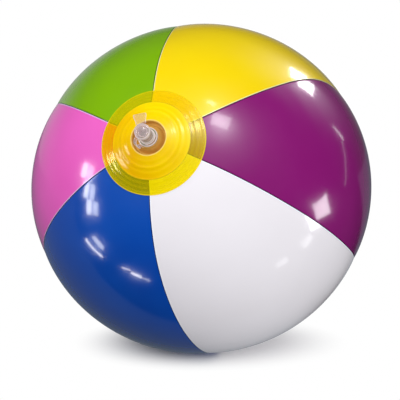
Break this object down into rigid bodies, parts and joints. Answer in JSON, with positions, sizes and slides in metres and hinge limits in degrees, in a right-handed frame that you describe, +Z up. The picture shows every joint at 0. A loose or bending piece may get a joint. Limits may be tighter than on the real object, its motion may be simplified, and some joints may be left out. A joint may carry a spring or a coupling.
{
  "type": "inflatable beach ball",
  "caption": "Inflated vinyl beach ball with coloured gores, see-through end discs and a push-in valve with a tethered stopper.",
  "frame": {"origin": "centre of the flat patch that the ball rests on", "axes": "+Z up, square to the resting patch; the valve's axis lies in the YZ plane and leans out toward -Y, 26 degrees above level; +X is across it"},
  "size_m": [0.3297, 0.3207, 0.3147],
  "materials": {
    "yellow_vinyl": "opaque glossy vinyl film",
    "green_vinyl": "opaque glossy vinyl film",
    "pink_vinyl": "opaque glossy vinyl film",
    "blue_vinyl": "opaque glossy vinyl film",
    "white_vinyl": "opaque glossy vinyl film",
    "purple_vinyl": "opaque glossy vinyl film",
    "disc_film": "see-through glossy yellow vinyl film",
    "clear_vinyl": "clear soft moulded vinyl, glossy"
  },
  "bodies": {
    "ball": {"panel_yellow": "yellow_vinyl", "panel_green": "green_vinyl", "panel_pink": "pink_vinyl", "panel_blue": "blue_vinyl", "panel_white": "white_vinyl", "panel_purple": "purple_vinyl", "valve_disc": "disc_film", "rear_disc": "disc_film", "valve_flange": "clear_vinyl", "valve_cuff": "clear_vinyl"},
    "valve": {"valve_stem": "clear_vinyl", "tether": "clear_vinyl"},
    "stopper": {"stopper": "clear_vinyl", "pull_tab": "clear_vinyl"},
    "flap": {"check_flap": "clear_vinyl"}
  },
  "joints": [
    {"name": "valve_push", "type": "slide", "parent": "ball", "child": "valve", "axis": [0, 0.8988, -0.4384], "range_m": [0, 0.013], "deforming": ["valve_cuff"]},
    {"name": "stopper_pull", "type": "slide", "parent": "valve", "child": "stopper", "axis": [0, -0.8988, 0.4384], "range_m": [0, 0.006], "deforming": ["tether"]},
    {"name": "flap_swing", "type": "hinge", "parent": "valve", "child": "flap", "pos_m": [0, -0.11892, 0.22634], "axis": [1, 0, 0], "range_deg": [0, 60], "stiffness_Nm_per_rad": 0.0001, "springref_deg": -5.73}
  ]
}
